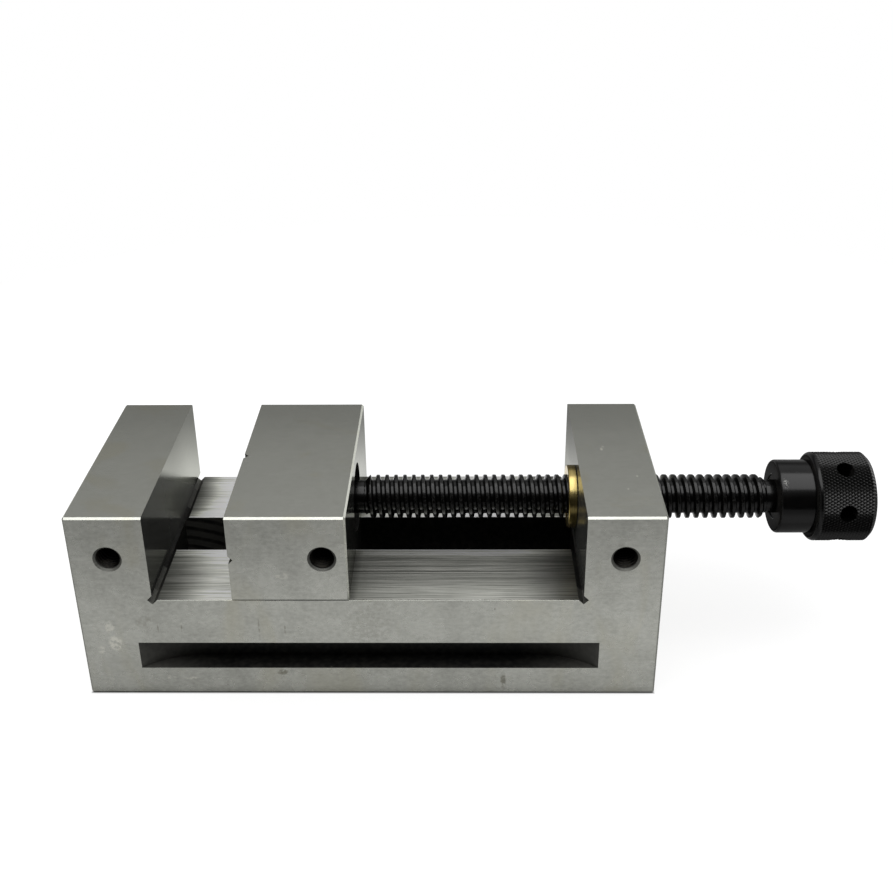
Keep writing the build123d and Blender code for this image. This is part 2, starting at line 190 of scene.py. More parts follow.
table_paper, paper = new_material("table_paper")
rays = paper.node("LightPath").socket.node.outputs
seen_straight, seen_in_metal, seen_in_glass = (
    Value(paper.tree, rays[name]) for name in ("Is Camera Ray", "Is Glossy Ray", "Is Transmission Ray"))
paper_place = paper.node("TexCoord", out="Object")
paper_noise = paper.node("TexNoise", {"Vector": paper_place, "Scale": 900.0, "Detail": 2.0}, out="Fac")
sheet_white = paper.node("BsdfDiffuse", {
    "Color": paper_noise.eased(0.3, 0.7).blend((0.245, 0.245, 0.245, 1), (0.255, 0.255, 0.255, 1))})
from_vise = paper_place.vector("LENGTH", out="Value")
table_across, table_depth, _ = paper_place.parts()
# Painted reflections: for glossy rays the table glows in bands set by its depth, which paints the light
# and dark that the steel fronts and lapped faces mirror.
painted_reflection_bands = (0.5 + table_depth).levels((
    (0.30, 0.0), (0.332, 0.05), (0.355, 0.12), (0.40, 0.25), (0.42, 0.19), (0.4485, 0.165),
    (0.4495, 0.0), (0.56, 0.0), (0.60, 0.95), (0.64, 0.95), (0.67, 0.50), (0.70, 0.22), (0.85, 0.0)))
block_middle = -0.048
beside_ends = abs(table_across - block_middle).eased(0.1218, 0.1232)
beside = beside_ends.most(abs(table_depth).eased(0.0494, 0.0507))
straight_glow = from_vise.eased(0.10, 0.40, 0.78, 1.0) * beside * seen_straight
painted_reflection_glow = painted_reflection_bands * seen_in_metal.most(seen_in_glass)
glow = paper.node("Emission", {"Strength": straight_glow.most(painted_reflection_glow)})
finish_material(table_paper, paper.node("AddShader", {0: sheet_white, 1: glow}))
table = bmesh.new()
bmesh.ops.create_circle(table, cap_ends=True, segments=96, radius=0.52)
bmesh.ops.translate(table, verts=table.verts, vec=(0.0, 0.09, -0.0001))
table_data = bpy.data.meshes.new("table_top")
table.to_mesh(table_data)
table.free()
table_data.materials.append(table_paper)
table_top = bpy.data.objects.new("table_top", table_data)
scene.collection.objects.link(table_top)


# Body: one block of hardened alloy steel, surface ground outside. The gripping faces are
# lapped bright, and the unground insides of its slots keep their black hardening scale.
# Shade is painted dark into its stop holes and corner reliefs, and light and reflections are
# painted into its rails, tops, fronts and lapped faces.
millimetre = 0.001
bed_height = 49.5 * millimetre
half_width = 50.0 * millimetre
fixed_face = -138.3 * millimetre
block_face = 42.0 * millimetre
bed_middle = (fixed_face + block_face) / 2.0
within_ends = 121.5 * millimetre
just_below_tops = 89.0 * millimetre
rail_slot_wall = 13.0 * millimetre
channel_wall = 24.1 * millimetre
relief_reach = 2.14 * millimetre
clamp_slot_middle = -48.55 * millimetre
clamp_slot_reach = 98.6 * millimetre
clamp_slot_height = 20.55 * millimetre
clamp_slot_half_height = 6.81 * millimetre
clamp_slot_floor = 40.5 * millimetre
parked_jaw_middle = -80.25 * millimetre
parked_jaw_reach = 24.5 * millimetre


def near(value, centre, reach):
    return abs(value - centre) < reach


def ground_steel(name, scale_and_painted_shade_mask, rail_mask, marks, face_tone, face_light, face_haze_and_painted_reflection):
    """Ground steel, black where scale_and_painted_shade_mask is 1: hardening scale, and shade painted
    into holes, reliefs and joints. Coarse streaks where rail_mask is 1, and pale or dark marks, each a
    place, its reach along the three axes and its strength. face_light paints the lapped faces'
    reflections;
    face_haze_and_painted_reflection gives how dull they are and the tone of that dull layer, which on
    the fixed jaw also paints a darker reflection low on its face."""
    material, steel = new_material(name)
    place = steel.node("TexCoord", out="Object")
    x, y, z = place.parts()
    faces_along, _, faces_up = [abs(part) for part in steel.node("TexCoord", out="Normal").parts()]
    lapped_face = (faces_along > 0.9) * near(x, block_middle, within_ends)
    upright = faces_up < 0.5
    rail = rail_mask(x, y, z) * (1.0 - upright)
    scale_and_painted_shade = scale_and_painted_shade_mask(x, y, z)

    def noise(per_metre, detail, distortion=0.0):
        stretched = steel.node("CombineXYZ", {
            axis: part * rate for axis, (part, rate) in enumerate(zip((x, y, z), per_metre))})
        sockets = {"Vector": stretched, "Scale": 1.0, "Detail": detail, "Distortion": distortion}
        return steel.node("TexNoise", sockets, out="Fac")

    # Lines of the grinding wheel, and the clouds and blots of stoning, oil and hands.
    fine = noise((130.0, 1500.0, 1500.0), 3.0)
    streaks = noise((4.5, 2300.0, 2300.0), 1.0)
    dashes = noise((60.0, 2600.0, 2600.0), 1.0)
    bands = noise((14.0, 300.0, 300.0), 3.0)
    clouds = noise((24.0, 24.0, 24.0), 3.0)
    blots = noise((110.0, 110.0, 150.0), 3.0, 0.3)
    mottles = noise((420.0, 420.0, 620.0), 3.0)
    grain = noise((1900.0, 1900.0, 1900.0), 1.0)
    drips = noise((170.0, 170.0, 16.0), 2.0)
    mottle = ((clouds - 0.5) * 0.26 + (blots - 0.5) * 0.36 + (mottles - 0.5) * 0.48
              + (grain - 0.5) * 0.24 + (drips - 0.5) * 0.16)
    lined = (streaks - 0.5) * 1.7 + (bands - 0.5) * 0.3 + (dashes - 0.5) * 1.3
    shade = 0.5 + mottle * (0.22 + 0.78 * upright) + (fine - 0.5) * 0.10 * (1.0 - rail) + rail * lined
    tone = shade.ramp((
        (0.0, (0.28, 0.282, 0.252)), (0.5, (0.590, 0.597, 0.545)), (1.0, (0.86, 0.86, 0.80))))

    # Rails: painted reflections, the light and dark that they mirror from jaws and screw, and a brighter
    # line along the edge of their slot.
    along_bed = ((x - fixed_face) / (block_face - fixed_face)).levels((
        (0.0, 0.34), (0.046, 0.43), (0.08, 0.58), (0.13, 0.93), (0.185, 0.95), (0.30, 0.66), (0.40, 0.50),
        (0.46, 0.24), (0.477, 0.45), (0.53, 0.48), (0.80, 0.62), (0.866, 0.50), (0.90, 0.36),
        (0.95, 0.19), (1.0, 0.10))) * 2.0
    across_bed = (abs(y) / half_width).levels((
        (0.28, 0.88), (0.33, 0.80), (0.38, 0.50), (0.48, 0.45), (0.53, 0.42), (0.60, 0.36), (0.68, 0.33),
        (0.76, 0.36), (0.85, 0.45), (1.0, 0.42))) * 2.0
    behind_screw = (y > 0.0) * (x > -0.03) * abs(x - 0.004).eased(0.010, 0.022, 0.9, 0.0)
    left_rear = x.eased(-0.100, -0.065, 1.0, 0.0) * (y > 0.0)
    along_rear = left_rear * x.eased(-0.137, -0.124, -0.45, 1.20)
    slot_edge_line = near(abs(y), rail_slot_wall + 0.00045, 0.00035) * 0.9
    rail_light = along_bed * across_bed * (1.0 + along_rear + behind_screw) + slot_edge_line
    tone = rail.blend(tone, tone.vector("MULTIPLY", rail_light))

    # Lapped faces, with the reflections of what stands in front of them painted into their colour.
    lapping = 0.5 + (noise((1500.0, 60.0, 1500.0), 3.0) - 0.5) * 0.5 + (blots - 0.5) * 0.5
    dark_lapping = tuple(face_tone * part for part in (0.84, 0.85, 0.80)) + (1,)
    pale_lapping = tuple(face_tone * part for part in (1.16, 1.17, 1.10)) + (1,)
    face = lapping.blend(dark_lapping, pale_lapping).vector("MULTIPLY", face_light(x, y, z))
    tone = lapped_face.blend(tone, face)

    # The painted shadow line under the bed's front edge, darker where the jaw stands at rest, then stains
    # and single marks.
    bed_edge_shadow_line = near(z, bed_height - 0.00018, 0.00016) * (abs(y) > half_width - 0.0004)
    bed_edge_shadow_line = bed_edge_shadow_line * near(x, bed_middle, block_face - bed_middle - 0.00185)
    edge_light = 0.60 - near(x, parked_jaw_middle, parked_jaw_reach) * 0.36
    tone = (bed_edge_shadow_line * (1.0 - edge_light)).blend(tone, (0.02, 0.02, 0.018, 1))
    stain = noise((44.0, 44.0, 16.0), 5.0, 0.6).eased(0.50, 0.70) * (1.0 - rail) * (1.0 - lapped_face)
    tone = (stain * 0.42).blend(tone, (0.57, 0.55, 0.43, 1))
    ragged = noise((650.0, 650.0, 650.0), 4.0).eased(0.38, 0.60)
    for mark_place, reach, strength in marks:
        offset = place.vector("SUBTRACT", mark_place).vector("DIVIDE", reach)
        spot = offset.vector("LENGTH", out="Value").eased(0.4, 1.0, abs(strength), 0.0)
        mark_tone = (0.86, 0.85, 0.76, 1) if strength > 0.0 else (0.26, 0.25, 0.20, 1)
        tone = (spot * ragged).blend(tone, mark_tone)

    # Painted light: tops that run darker to the rear, and fronts that run brighter to the right.
    top_levels = ((y + half_width) / (2.0 * half_width)).levels((
        (0.0, 0.54), (0.15, 0.60), (0.50, 0.69), (0.68, 0.62), (0.84, 0.44), (1.0, 0.38)))
    top_light = (z > just_below_tops) * faces_up.eased(0.5, 0.9) * top_levels
    jaw_right = (z > bed_height) * (x < -0.05) * x.eased(-0.080, -0.060, 0.0, 0.07)
    rightward = x.eased(-0.15, -0.10, -0.035, 0.015) + x.eased(-0.02, 0.03, 0.0, 0.035) + jaw_right
    front_light = upright * (y < 0.0001 - half_width) * rightward
    light = 1.0 + (top_light - 0.5 * (top_light > 0.01)) * 0.5 + front_light
    tone = tone.vector("MULTIPLY", light)

    # Hardening scale, and the same black painted as shade into holes, reliefs and joints, with the arcs of
    # the milling cutter in the slots.
    black_spots = noise((420.0, 420.0, 420.0), 5.0)
    scale_and_painted_shade_tone = black_spots.eased(0.35, 0.75).blend((0.006, 0.006, 0.006, 1), (0.026, 0.025, 0.022, 1))
    milled = steel.node("TexWave", {
        "Vector": place.vector("ADD", (0.141, 0.0, 0.012)),
        "Scale": 62.0, "Distortion": 0.9, "Detail": 2.0, "Detail Scale": 2.0},
        out="Fac", wave_type="RINGS", rings_direction="Y")
    milled_wall = near(abs(y), rail_slot_wall, 0.0002) * x.eased(-0.136, -0.096, 0.85, 0.0)
    milled_wall = milled_wall * milled.eased(0.0, 0.6)
    run_out = (abs(y) > clamp_slot_floor) * abs(x - clamp_slot_middle).eased(0.060, 0.095)
    run_out = run_out * (0.5 + black_spots * 0.8)
    scale_and_painted_shade_tone = milled_wall.most(run_out * 0.8).blend(scale_and_painted_shade_tone, (0.082, 0.081, 0.073, 1))
    cutter_arcs = steel.node("TexWave", {
        "Vector": place.vector("SUBTRACT", (fixed_face, 0.0, 0.0)),
        "Scale": 330.0, "Distortion": 1.5, "Detail": 1.0},
        out="Fac", wave_type="RINGS", rings_direction="Z")

    rail_rough = rail * (0.10 + (streaks - 0.5) * 0.30 + left_rear * 0.12)
    rough = 0.27 + (blots - 0.5) * 0.05 * upright + rail_rough - lapped_face * 0.13
    ground_relief = fine * 0.12 + grain * 0.10 + rail * streaks * 0.9
    black_relief = black_spots * 0.8 + cutter_arcs * 0.5
    relief = (1.0 - scale_and_painted_shade) * ground_relief + scale_and_painted_shade * black_relief
    polished = steel.node("BsdfPrincipled", {
        "Base Color": scale_and_painted_shade.blend(tone, scale_and_painted_shade_tone),
        "Metallic": 1.0 - scale_and_painted_shade * 0.6,
        "Specular Tint": (0.99, 1.0, 0.94, 1),
        "Roughness": scale_and_painted_shade.eased(0.0, 1.0) * 0.25 + rough,
        "Normal": steel.node("Bump", {"Strength": 0.35, "Distance": 0.00003, "Height": relief}),
    })
    # The lapped faces' dull layer: an even haze, and on the fixed jaw a painted darker reflection low on
    # its face.
    haze_and_painted_reflection_amount, haze_and_painted_reflection_tone = face_haze_and_painted_reflection(x, y, z)
    haze_and_painted_reflection_colour = haze_and_painted_reflection_tone * (0.75 + lapping * 0.5)
    hazy_and_painted_reflection_layer = steel.node("BsdfPrincipled", {
        "Base Color": haze_and_painted_reflection_colour.blend((0, 0, 0, 1), (1.0, 1.01, 0.95, 1)),
        "Metallic": 0.0, "Specular IOR Level": 0.0, "Roughness": 0.6})
    haze_and_painted_reflection_share = lapped_face * (1.0 - scale_and_painted_shade) * haze_and_painted_reflection_amount
    return finish_material(material, steel.node("MixShader", {0: haze_and_painted_reflection_share, 1: polished, 2: hazy_and_painted_reflection_layer}))


def dress(node, material):
    data = nodes[node].data
    data.materials.clear()
    data.materials.append(material)


stop_height = 70.0 * millimetre
body_stop_places = (-154.4 * millimetre, 58.25 * millimetre)
stop_mouth = 6.02 * millimetre
stop_countersink = -49.15 * millimetre


# Painted shade: the stop holes are painted dark inside, darker beyond the countersink.
def stop_hole_painted_shade(x, y, z, place):
    inside = ((x - place) * (x - place) + (z - stop_height) * (z - stop_height)).root() < stop_mouth
    return inside * (y < -0.02) * (0.82 + (y > stop_countersink) * 0.18)


def body_scale_and_painted_shade(x, y, z):
    # Black hardening scale in the clamp slots and the channel; painted shade in the corner reliefs and the
    # stop holes.
    slot_band = near(z, clamp_slot_height, clamp_slot_half_height)
    slot_depth = (abs(y) > clamp_slot_floor) * (abs(y) < half_width - 0.00002)
    clamp_slots = near(x, clamp_slot_middle, clamp_slot_reach) * slot_band * slot_depth
    channel = (abs(y) < channel_wall) * (z > 0.00005) * (z < bed_height - 0.0001)
    channel = channel * near(x, block_middle, within_ends)
    from_bed = abs(z - bed_height)
    left_relief = (abs(x - fixed_face) + from_bed) < relief_reach
    right_relief = (abs(x - block_face) + from_bed) < relief_reach
    into_bed = x - fixed_face
    left_relief_shade = 0.88 - (into_bed > 0.0) * 0.10 + (into_bed > 0.0003) * 0.22
    relief_painted_shade = (left_relief * left_relief_shade).most(right_relief)
    holes = stop_hole_painted_shade(x, y, z, body_stop_places[0]).most(stop_hole_painted_shade(x, y, z, body_stop_places[1]))
    return clamp_slots.most(channel).most(relief_painted_shade).most(holes)


def bed_top(x, y, z):
    return near(z, bed_height, 0.0001)


# Painted reflections on the lapped faces: the fixed jaw's face runs brighter to the rear, and the block's
# face is bright at the front and, low down, at the rear.
def body_face_light(x, y, z):
    fixed_jaw_light = y.eased(0.0, 0.036, 0.42, 0.90)
    block_rear_light = (y > 0.0) * y.eased(0.0, 0.022) * z.eased(0.066, 0.077, 0.75, 0.07)
    block_light = y.eased(-0.036, -0.022, 1.9, 0.55) + block_rear_light
    return (x < -0.1) * fixed_jaw_light + (x > -0.1) * block_light


# Painted reflection on the fixed jaw's face: a dull dark layer below a slanting line, paler to the rear.
# The block's face has an even haze.
def body_face_haze_and_painted_reflection(x, y, z):
    on_jaw = x < -0.1
    amount = on_jaw * (z + y * 0.7).eased(0.0765, 0.0830, 0.70, 0.06) + (x > -0.1) * 0.50
    tone = on_jaw * y.eased(-0.03, 0.04, 0.035, 0.11) + (x > -0.1) * 0.06
    return amount, tone


# Marks of the body: a place in millimetres, its reach in metres, and its strength.
body_marks = tuple(((x * millimetre, y * millimetre, z * millimetre), reach, strength)
                   for x, y, z, reach, strength in (
    (-156.4, -50.0, 27.1, (0.0036, 0.001, 0.0050), 1.5),
    (-157.9, -50.0, 35.1, (0.0026, 0.001, 0.0044), 0.8),
    (-162.9, -50.0, 23.4, (0.0024, 0.001, 0.0026), 0.8),
    (-135.3, -50.0, 8.7, (0.0036, 0.001, 0.0011), 0.9),
    (-125.8, -50.0, 8.2, (0.0040, 0.001, 0.0011), 0.9),
    (8.9, -50.0, 6.7, (0.0016, 0.001, 0.0056), -0.8),
    (-86.1, -50.0, 11.5, (0.0032, 0.001, 0.0019), -0.8),
    (-142.6, -50.0, 38.2, (0.0060, 0.001, 0.0040), -0.3),
    (5.1, -50.0, 45.0, (0.0006, 0.001, 0.0005), -1.0),
    (-137.5, -50.0, 35.5, (0.0004, 0.001, 0.0035), -0.6),
    (-127.5, -50.0, 35.5, (0.0004, 0.001, 0.0035), -0.6),
    (-94.6, -50.0, 35.0, (0.0005, 0.001, 0.0070), -0.5),
    (-83.6, -50.0, 35.0, (0.0005, 0.001, 0.0075), -0.5),
    (-48.0, -50.0, 38.5, (0.0130, 0.001, 0.0180), -0.22),
    (53.4, 5.6, 90.0, (0.0007, 0.0015, 0.001), 4.0),
    (54.2, 7.2, 90.0, (0.0007, 0.0015, 0.001), 4.0),
    (66.0, -17.6, 90.0, (0.0006, 0.0007, 0.001), 1.6),
    (60.8, -28.1, 90.0, (0.0006, 0.0007, 0.001), 1.2),
))
dress("vise_body", ground_steel("ground_body_steel", body_scale_and_painted_shade, bed_top, body_marks, 0.27,
                                body_face_light, body_face_haze_and_painted_reflection))


# Threads of the stop holes: M12 tapped into both jaws and the nut block, painted dark for the
# shade inside the holes. Each is a ridge that winds down the drilled hole.
thread_steel_material, thread_steel = new_material("thread_steel_painted_dark")
# Painted shade: a near-black tone for the shade inside the holes.
thread_spots = thread_steel.node("TexNoise", {
    "Vector": thread_steel.node("TexCoord", out="Object"), "Scale": 700.0, "Detail": 4.0}, out="Fac")
finish_material(thread_steel_material, thread_steel.node("BsdfPrincipled", {
    "Base Color": thread_spots.eased(0.3, 0.7).blend((0.006, 0.0055, 0.005, 1), (0.022, 0.020, 0.016, 1)),
    "Metallic": 0.9, "Roughness": 0.35 + thread_spots * 0.2}))


def wound_ridge(profile, axis, centre, pitch, turns, steps):
    """A closed ridge of this profile, wound right-handed along an axis for some whole turns."""
    ridge = bmesh.new()
    corners = [ridge.verts.new(corner) for corner in profile]
    for index, corner in enumerate(corners):
        ridge.edges.new((corner, corners[index - 1]))
    advance = Vector(axis) * pitch
    bmesh.ops.spin(ridge, geom=ridge.verts[:] + ridge.edges[:], cent=centre, axis=axis,
                   dvec=advance / steps, angle=math.tau, steps=steps)
    one_turn = ridge.verts[:] + ridge.edges[:] + ridge.faces[:]
    for turn in range(1, turns):
        copy = bmesh.ops.duplicate(ridge, geom=one_turn)["geom"]
        bmesh.ops.translate(ridge, verts=[v for v in copy if isinstance(v, bmesh.types.BMVert)],
                            vec=advance * turn)
    bmesh.ops.remove_doubles(ridge, verts=ridge.verts, dist=1e-6)
    bmesh.ops.holes_fill(ridge, edges=ridge.edges, sides=len(profile))
    return ridge


def finish_piece(name, mesh, material, body, replaced=(), sharp_angle=35.0):
    """Turns a bmesh into a piece that rides on a body."""
    bmesh.ops.recalc_face_normals(mesh, faces=mesh.faces)
    data = bpy.data.meshes.new(name)
    mesh.to_mesh(data)
    mesh.free()
    data.shade_smooth()
    data.set_sharp_from_angle(angle=math.radians(sharp_angle))
    data.materials.append(material)
    piece = bpy.data.objects.new(name, data)
    scene.collection.objects.link(piece)
    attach(piece, body)
    if replaced:
        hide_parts(*replaced)
    return piece


jaw_stop_place = -66.1 * millimetre
stop_pitch = 1.75 * millimetre
stop_thread_start = -48.6 * millimetre
stop_thread_flank = 0.6 * millimetre
stop_thread_root = 5.08 * millimetre
stop_thread_crest = 4.55 * millimetre
for label, place, body in (
    ("fixed_jaw", body_stop_places[0], "base"),
    ("nut_block", body_stop_places[1], "base"),
    ("moving_jaw", jaw_stop_place, "jaw"),
):
    ridge = wound_ridge(
        [(place, stop_thread_start - stop_thread_flank, stop_height + stop_thread_root),
         (place, stop_thread_start, stop_height + stop_thread_crest),
         (place, stop_thread_start + stop_thread_flank, stop_height + stop_thread_root)],
        (0.0, 1.0, 0.0), (place, 0.0, stop_height), stop_pitch, turns=12, steps=40)
    finish_piece(f"{label}_stop_thread", ridge, thread_steel_material, body)


# Nut: turned brass, pushed through the block with its flange inside, so that the flange takes
# the thrust of clamping. A small grub screw in the joint keys it.
axis_height = 69.0 * millimetre
lead = 4.0 * millimetre
first_crest = -45.87 * millimetre
brass_material, brass = new_material("turned_brass")
brass_place = brass.node("TexCoord", out="Object")
x, y, z = brass_place.parts()
from_axis = (y * y + (z - axis_height) * (z - axis_height)).root()
turned_place = brass.node("CombineXYZ", {0: x * 1400.0, 1: from_axis * 2600.0})
turning = brass.node("TexNoise", {"Vector": turned_place, "Scale": 1.0, "Detail": 2.0}, out="Fac")
tarnish = brass.node("TexNoise", {"Vector": brass_place, "Scale": 210.0, "Detail": 5.0}, out="Fac")
brass_tone = (0.35 * tarnish + 0.65 * turning).ramp((
    (0.25, (0.28, 0.20, 0.062)), (0.5, (0.48, 0.375, 0.145)), (0.8, (0.64, 0.53, 0.25))))
# Painted shade: a black band round the nut where its flange meets the block.
flange_joint_shade = near(x, block_face - 0.00012, 0.00022)
finish_material(brass_material, brass.node("BsdfPrincipled", {
    "Base Color": flange_joint_shade.blend(brass_tone, (0.010, 0.008, 0.004, 1)),
    "Metallic": 1.0, "Roughness": 0.16 + tarnish * 0.08 + turning * 0.10,
    "Normal": brass.node("Bump", {"Strength": 0.25, "Distance": 0.00002, "Height": turning})}))
dress("lead_nut", brass_material)

nut_ridge_start = first_crest + 22.5 * lead
nut_ridge = wound_ridge(
    [(nut_ridge_start + along, 0.0, axis_height + radius) for along, radius in (
        (-0.00110, 0.00994), (-0.00045, 0.00768), (0.00045, 0.00768), (0.00110, 0.00994))],
    (1.0, 0.0, 0.0), (0.0, 0.0, axis_height), lead, turns=7, steps=64)
finish_piece("lead_nut_thread", nut_ridge, brass_material, "base")


# Black fasteners: the socket head cap screws of the keeper plate, and the grub screws in the
# joint of the nut and in the knob. Quenched steel, blacked and oiled.
def unrubbed(x, y, z, radius, specks):
    return radius < 0.0


def blacked_steel(name, rub_mask=unrubbed, dark=0.003, rough=0.22, ring_bump=0.3, left_faces_painted_shade=0.0):
    """Black oxide on turned steel, bright metal where rub_mask is 1. left_faces_painted_shade paints the
    faces that look left a dull dark, as shade.
    """
    material, black = new_material(name)
    place = black.node("TexCoord", out="Object")
    x, y, z = place.parts()
    radius = (y * y + (z - axis_height) * (z - axis_height)).root()
    turned_place = black.node("CombineXYZ", {0: x * 2400.0, 1: radius * 2400.0})
    rings = black.node("TexNoise", {"Vector": turned_place, "Scale": 1.0, "Detail": 2.0}, out="Fac")
    oil = black.node("TexNoise", {"Vector": place, "Scale": 130.0, "Detail": 5.0}, out="Fac")
    specks = black.node("TexNoise", {"Vector": place, "Scale": 1500.0, "Detail": 3.0}, out="Fac")
    oiled = oil.eased(0.3, 0.7)
    rub = rub_mask(x, y, z, radius, specks)
    black_tone = oiled.blend(
        (dark * 0.7, dark * 0.7, dark * 0.7, 1), (dark * 1.5, dark * 1.42, dark * 1.34, 1))
    glossy = black.node("BsdfPrincipled", {
        "Base Color": rub.blend(black_tone, (0.24, 0.24, 0.23, 1)),
        "Metallic": 0.15 + rub * 0.85,
        "Roughness": rough + (oil - 0.5) * 0.12 + (rings - 0.5) * 0.08,
        "Specular IOR Level": 0.36,
        "Normal": black.node("Bump", {
            "Strength": ring_bump, "Distance": 0.00002, "Height": rings + specks * 0.5}),
    })
    # Painted shade: faces that look left turn to a dull dark layer.
    looks_left = black.node("TexCoord", out="Normal").parts()[0] < -0.9
    left_shade_layer = black.node("BsdfPrincipled", {
        "Base Color": oiled.blend((0.006, 0.006, 0.006, 1), (0.014, 0.013, 0.012, 1)),
        "Metallic": 0.0, "Specular IOR Level": 0.0, "Roughness": 0.45 + (rings - 0.5) * 0.2})
    shader = black.node("MixShader", {0: looks_left * left_faces_painted_shade, 1: glossy, 2: left_shade_layer})
    return finish_material(material, shader)


fastener_black = blacked_steel("blacked_fastener_steel", dark=0.006)
for node in ("nut_key_screw", "knob_grub_screw_upper", "knob_grub_screw_lower",
             "keeper_screw_left", "keeper_screw_right"):
    dress(node, fastener_black)


# Moving jaw: ground as the body is, with an upright and a level vee cut across its face, an
# M12 stop hole, and the bored hole for the screw's bearing.
jaw_back = -55.7 * millimetre
jaw_face = -104.8 * millimetre


def jaw_painted_shade(x, y, z):
    # Painted shade in the screw's bore and the stop hole, and a painted shadow line along the joint with
    # the bed.
    bore = (y * y + (z - axis_height) * (z - axis_height)).root() < 0.0153
    bore = bore * (x < jaw_back - 0.00003) * (x > jaw_face + 0.0008)
    joint_painted_shadow = near(z, bed_height + 0.00012, 0.00022) * (abs(y) > half_width - 0.00005)
    return bore.most(stop_hole_painted_shade(x, y, z, jaw_stop_place)).most(joint_painted_shadow * 0.8)


def no_rails(x, y, z):
    return z < -1.0


# Painted shade: the moving jaw's lapped faces run darker towards the bed.
def jaw_face_light(x, y, z):
    return z.eased(0.050, 0.074, 0.52, 0.95)


def jaw_face_haze(x, y, z):
    return 0.35, 0.02


jaw_marks = (((-0.0830, -0.050, 0.0618), (0.0036, 0.001, 0.0022), 0.5),)
dress("moving_jaw", ground_steel("ground_jaw_steel", jaw_painted_shade, no_rails, jaw_marks, 0.31,
                                 jaw_face_light, jaw_face_haze))


# Keeper plate: milled steel under the rails, screwed and dowelled to the jaw's tongue, with
# split washers under the screw heads. The dowels and washers are hardened and bright.
keeper_material, keeper = new_material("milled_keeper_steel")
keeper_place = keeper.node("TexCoord", out="Object")
passes = keeper.node("TexWave", {"Vector": keeper_place, "Scale": 260.0, "Distortion": 2.0, "Detail": 2.0},
                     out="Fac", wave_type="RINGS", rings_direction="Z")
keeper_cloud = keeper.node("TexNoise", {"Vector": keeper_place, "Scale": 60.0, "Detail": 5.0}, out="Fac")
keeper_shade = (0.5 * passes + 0.5 * keeper_cloud).eased(0.2, 0.8)
finish_material(keeper_material, keeper.node("BsdfPrincipled", {
    "Base Color": keeper_shade.blend((0.20, 0.20, 0.19, 1), (0.33, 0.33, 0.31, 1)),
    "Metallic": 1.0, "Roughness": 0.28 + passes * 0.14,
    "Normal": keeper.node("Bump", {"Strength": 0.4, "Distance": 0.00002, "Height": passes})}))
dress("keeper_plate", keeper_material)

bright_material, bright = new_material("hardened_bright_steel")
bright_place = bright.node("TexCoord", out="Object")
bright_cloud = bright.node("TexNoise", {"Vector": bright_place, "Scale": 260.0, "Detail": 5.0}, out="Fac")
finish_material(bright_material, bright.node("BsdfPrincipled", {
    "Base Color": bright_cloud.eased(0.3, 0.7).blend((0.36, 0.36, 0.35, 1), (0.46, 0.46, 0.45, 1)),
    "Metallic": 1.0, "Roughness": 0.14 + bright_cloud * 0.14}))
for node in ("keeper_dowel_front", "keeper_dowel_rear", "spring_washer_left", "spring_washer_right"):
    dress(node, bright_material)


# Bearing of the screw in the jaw: a hardened button in the screw's nose turns against a
# hardened pad, and a collar pinned to the neck turns against the threaded bush behind it.
# Collar and bush are turned steel, blacked.
for node in ("thrust_pad", "thrust_button", "collar_pin"):
    dress(node, bright_material)
bearing_black = blacked_steel("blacked_bearing_steel", dark=0.005)
dress("thrust_collar", bearing_black)
dress("retaining_bush", bearing_black)


# Lead screw: turned from one bar, with a trapezoidal thread, right-hand, 4 mm for each turn.
# Blacked, and rubbed bright on the crests where the nut runs.
crest_radius = 9.75 * millimetre
root_radius = 7.5 * millimetre
neck_radius = 7.4 * millimetre
thread_start = -52.0 * millimetre
thread_end = 126.0 * millimetre
nose_end = -81.9 * millimetre
nose_bevel = 0.4 * millimetre
button_end = -78.4 * millimetre
button_bore = 4.02 * millimetre
screw_end = 169.5 * millimetre
end_bevel = 1.0 * millimetre
centre_hole_mouth = 3.0 * millimetre
centre_hole_floor = 0.6 * millimetre
centre_hole_depth = 4.2 * millimetre
rim_step = 0.2 * millimetre


def screw_rub(x, y, z, radius, specks):
    on_crest = radius.eased(crest_radius - 0.00020, crest_radius - 0.00004)
    return on_crest * specks.eased(0.45, 0.72) * 0.07


screw_black = blacked_steel("blacked_screw_steel", screw_rub, dark=0.0018, rough=0.17, ring_bump=0.15)

screw = bmesh.new()
thread_profile = ((-2.0, root_radius), (-1.33, root_radius), (-0.73, crest_radius),
                  (0.73, crest_radius), (1.33, root_radius), (2.0, root_radius))
profile_middle = first_crest - 3 * lead
profile_corners = [screw.verts.new((profile_middle + along * millimetre, 0.0, axis_height + radius))
                   for along, radius in thread_profile]
for left, right in zip(profile_corners, profile_corners[1:]):
    screw.edges.new((left, right))
bmesh.ops.bevel(screw, geom=profile_corners[1:-1], offset=0.3 * millimetre, affect="VERTICES",
                segments=3, profile=0.5, material=-1)
steps_per_turn = 64
bmesh.ops.spin(screw, geom=screw.verts[:] + screw.edges[:], cent=(0.0, 0.0, axis_height),
               axis=(1.0, 0.0, 0.0), dvec=(lead / steps_per_turn, 0.0, 0.0), angle=math.tau,
               steps=steps_per_turn)
one_turn = screw.verts[:] + screw.edges[:] + screw.faces[:]
turns_drawn = 49
for count in range(1, turns_drawn):
    copy = bmesh.ops.duplicate(screw, geom=one_turn)["geom"]
    bmesh.ops.translate(screw, verts=[v for v in copy if isinstance(v, bmesh.types.BMVert)],
                        vec=(count * lead, 0.0, 0.0))
bmesh.ops.remove_doubles(screw, verts=screw.verts, dist=1e-6)


def radius_of(vertex):
    return math.hypot(vertex.co.y, vertex.co.z - axis_height)


def set_radius(vertex, radius):
    outward = Vector((0.0, vertex.co.y, vertex.co.z - axis_height)).normalized() * radius
    vertex.co = (vertex.co.x, outward.y, axis_height + outward.z)


